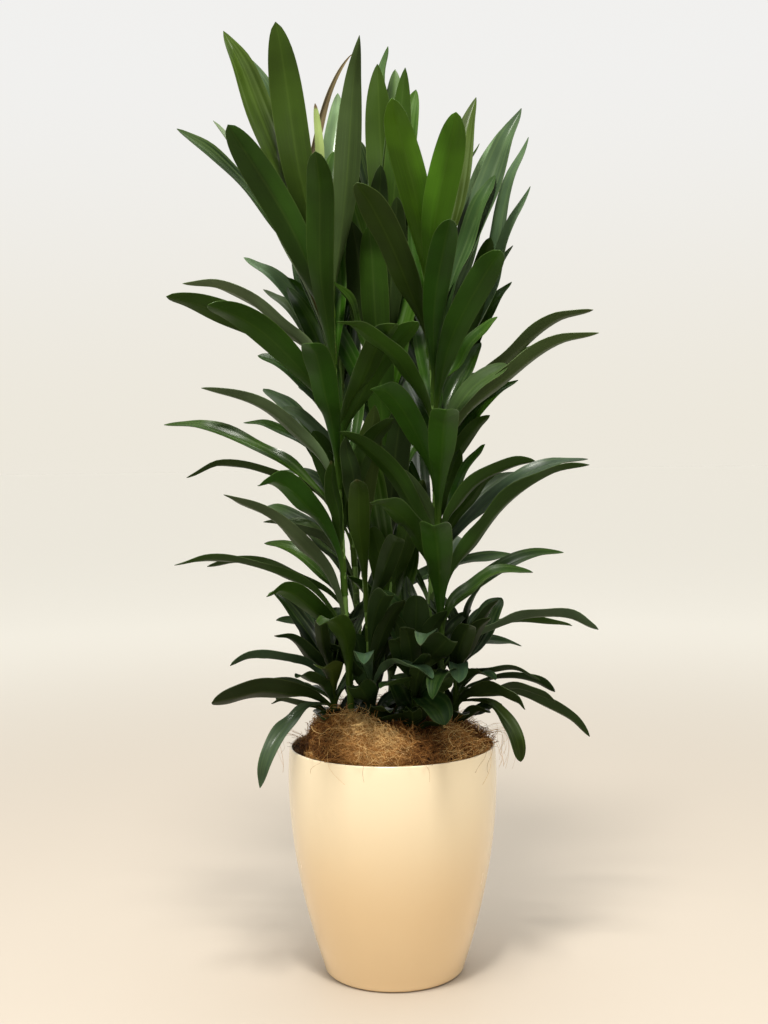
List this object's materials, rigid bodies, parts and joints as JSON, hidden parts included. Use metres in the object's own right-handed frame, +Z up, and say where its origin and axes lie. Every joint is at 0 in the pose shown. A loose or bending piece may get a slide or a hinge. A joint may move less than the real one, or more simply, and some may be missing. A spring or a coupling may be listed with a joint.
{
  "type": "potted plant",
  "caption": "Tall strap-leaved house plant: leafy green canes of mixed height in a tapered round cream pot, soil hidden under a mound of coconut fibre.",
  "frame": {"origin": "middle of the pot's flat foot, on the ground", "axes": "+Z up along the pot's axis; -Y is the side that the picture shows; +X is to the right in it"},
  "size_m": [0.7366, 0.755, 1.621],
  "materials": {
    "pot": "gloss",
    "soil": "matte",
    "coir": "matte",
    "leaf": "satin",
    "low_leaf": "satin"
  },
  "bodies": {
    "root": {"pot": "pot", "soil": "soil", "coir": "coir", "stem_front_left": "leaf", "stem_front_right": "leaf", "stem_middle": "leaf", "stem_back_left": "leaf", "stem_back_right": "leaf", "stem_short": "low_leaf", "shoot_left": "low_leaf", "shoot_middle": "low_leaf", "shoot_right": "low_leaf"}
  },
  "joints": []
}
